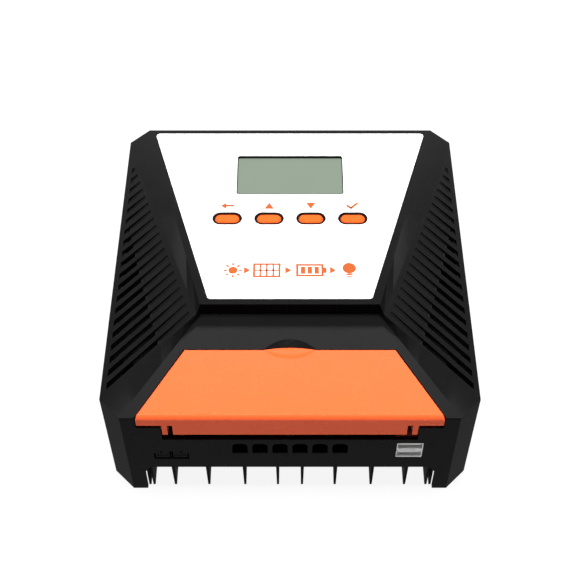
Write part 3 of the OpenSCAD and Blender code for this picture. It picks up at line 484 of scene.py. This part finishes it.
def hoop(shape, x, y, w, l, line):
    """A rectangular outline."""
    for side in (-1, 1):
        bar(shape, x, y + side * (l - line) / 2, w, line)
        bar(shape, x + side * (w - line) / 2, y, line, l - 2 * line)


def back_mark(shape, x, y):
    triangle(shape, x - 2.4, y, 4.6, 3.2, math.pi / 2)
    bar(shape, x + 1.4, y, 4.6, 1.5)


def tick_mark(shape, x, y):
    bar(shape, x - 1.9, y - 0.85, 3.6, 1.4, -math.pi / 4)
    bar(shape, x + 1.0, y + 0.05, 5.8, 1.4, math.pi / 4)


def sun_mark(shape, x, y, rays=8, reach=4.2):
    disc(shape, x, y, 2.5)
    for i in range(rays):
        a = 2 * math.pi * i / rays
        bar(shape, x + reach * math.cos(a), y + reach * math.sin(a), 1.8, 1.1, a)


def panel_mark(shape, x, y, line=0.9):
    hoop(shape, x, y, 15, 9.8, 1.2)
    for i in (-1, 0, 1):
        bar(shape, x + i * 3.5, y, line, 7.6)
    bar(shape, x, y, 12.8, line)


def battery_mark(shape, x, y):
    hoop(shape, x, y, 15, 8.8, 1.3)
    bar(shape, x + 8.3, y, 1.6, 3.8)
    for i in (-1, 0, 1):
        bar(shape, x + i * 3.7, y, 2.4, 5)


def bulb_mark(shape, x, y):
    disc(shape, x, y + 1.5, 3.7)
    bar(shape, x, y - 2.9, 3.6, 1.2)
    bar(shape, x, y - 4.6, 2.8, 1.0)


def key_marks(shape):
    """Back arrow, up, down and tick, one above each key."""
    back, up, down, enter = [sum(end.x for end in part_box(f"key_{k}")) / 2 / MM for k in KEYS]
    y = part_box("key_up")[1].y / MM + KEY_MARK_RISE
    back_mark(shape, back, y)
    triangle(shape, up, y, 5.6, 4.8)
    triangle(shape, down, y, 5.6, 4.8, math.pi)
    tick_mark(shape, enter, y)


def energy_marks(shape):
    """Sun, panel, battery and lamp, joined by arrows."""
    y = plate_low.y / MM + ENERGY_MARK_RISE
    sun_mark(shape, -31, y)
    panel_mark(shape, -12.6, y)
    for x in (-23.3, -0.9, 23.4):
        triangle(shape, x, y, 5, 3.4, -math.pi / 2)
    battery_mark(shape, 10.8, y)
    bulb_mark(shape, 32.2, y)


piece_from("key_marks", key_marks, "print_orange")
piece_from("energy_marks", energy_marks, "print_orange")


# ---------------------------------------------------------------- stage, light and camera

def lit_surface(name, glow, points, faces, z=0.0, camera_only=False):
    """A plain pale surface that glows evenly, and that mirrors never show."""
    s = Shade(name, (0.1, 0.1, 0.1), 0.9, specular=0.0)
    s.shader.inputs["Emission Color"].default_value = (1, 1, 1, 1)
    s.shader.inputs["Emission Strength"].default_value = glow
    s.mottle(300 * MM, 0.004)
    mesh = bpy.data.meshes.new(name)
    mesh.from_pydata(points, [], faces)
    mesh.materials.append(s.done())
    made = bpy.data.objects.new(name, mesh)
    made.location.z = z
    made.visible_glossy = False
    if camera_only:
        made.visible_diffuse = made.visible_transmission = made.visible_shadow = False
    bpy.context.scene.collection.objects.link(made)


def floor(half=6.0, gap=0.05 * MM):
    """Wide and level just under the legs, lit evenly as a light table is."""
    corners = [(-half, -half, 0), (half, -half, 0), (half, half, 0), (-half, half, 0)]
    lit_surface("floor", 0.9, corners, [(0, 1, 2, 3)], z=cad_low.z - gap)


def backdrop(radius=5.5, height=8.0, foot=-0.2, sides=64):
    """A white wall far behind on every side, which only the camera sees."""
    points = [(x, y, z) for z in (foot, height) for x, y in circle(0, 0, radius, sides)]
    faces = [(i, (i + 1) % sides, sides + (i + 1) % sides, sides + i) for i in range(sides)]
    lit_surface("backdrop", 0.95, points, faces, camera_only=True)


def lamp(name, place, aim, size, power):
    data = bpy.data.lights.new(name, "AREA")
    data.shape = "SQUARE"
    data.size = size
    data.energy = power
    made = bpy.data.objects.new(name, data)
    made.location = place
    made.rotation_euler = (Vector(aim) - Vector(place)).to_track_quat("-Z", "Y").to_euler()
    made.visible_glossy = False
    bpy.context.scene.collection.objects.link(made)


def sky(low, ground, strip):
    """Strength by direction: a white strip 30 to 40 degrees up behind, and low elsewhere above the horizon.

    The ground below is seen only in reflections, brighter where it is far away. A ramp runs along one part
    of the direction, so its Z numbers are sines of the elevation."""
    world = bpy.data.worlds.new("studio")
    bpy.context.scene.world = world
    world.use_nodes = True
    tree = world.node_tree
    place = tree.nodes.new("ShaderNodeTexCoord")
    split = tree.nodes.new("ShaderNodeSeparateXYZ")
    tree.links.new(place.outputs["Generated"], split.inputs[0])

    def ramp(axis, start, end, top):
        made = tree.nodes.new("ShaderNodeMapRange")
        made.interpolation_type = "SMOOTHSTEP"
        for socket, number in zip(("From Min", "From Max", "To Max"), (start, end, top)):
            made.inputs[socket].default_value = number
        tree.links.new(split.outputs[axis], made.inputs["Value"])
        return made.outputs["Result"]

    def combine(operation, first, second):
        made = tree.nodes.new("ShaderNodeMath")
        made.operation = operation
        for socket, value in zip(made.inputs, (first, second)):
            if isinstance(value, float):
                socket.default_value = value
            else:
                tree.links.new(value, socket)
        return made.outputs[0]

    band = combine("MULTIPLY", ramp("Z", 0.71, 0.64, strip), ramp("Z", 0.42, 0.5, 1.0))
    behind = combine("MULTIPLY", band, ramp("Y", 0.1, 0.5, 1.0))
    near = combine("ADD", ramp("Z", 0.0, -0.1, ground), low)
    far = combine("MULTIPLY", ramp("Z", -0.55, -0.25, 0.3), ramp("Z", 0.02, -0.02, 1.0))
    below = combine("ADD", near, far)
    tree.links.new(combine("ADD", behind, below), tree.nodes["Background"].inputs["Strength"])
    tree.nodes["Background"].inputs["Color"].default_value = (1, 1, 1, 1)


def camera():
    """Looks down at the wire end from the front, as a product photograph does."""
    tilt = math.radians(51.73)
    back, height = 297.82 * MM, 550.39 * MM
    data = bpy.data.cameras.new("camera")
    data.sensor_width = 36
    data.lens = 70.72
    data.clip_start = 0.01
    made = bpy.data.objects.new("camera", data)
    made.location = (0, cad_low.y - back, height)
    made.rotation_euler = (math.pi / 2 - tilt, 0, 0)
    bpy.context.scene.collection.objects.link(made)
    bpy.context.scene.camera = made


floor()
backdrop()
sky(low=0.02, ground=0.09, strip=1.3)
lamp("overhead", place=(0, 0.08, 1.5), aim=(0, 0, 0), size=0.7, power=53)
camera()
bpy.context.scene.view_settings.view_transform = "Standard"
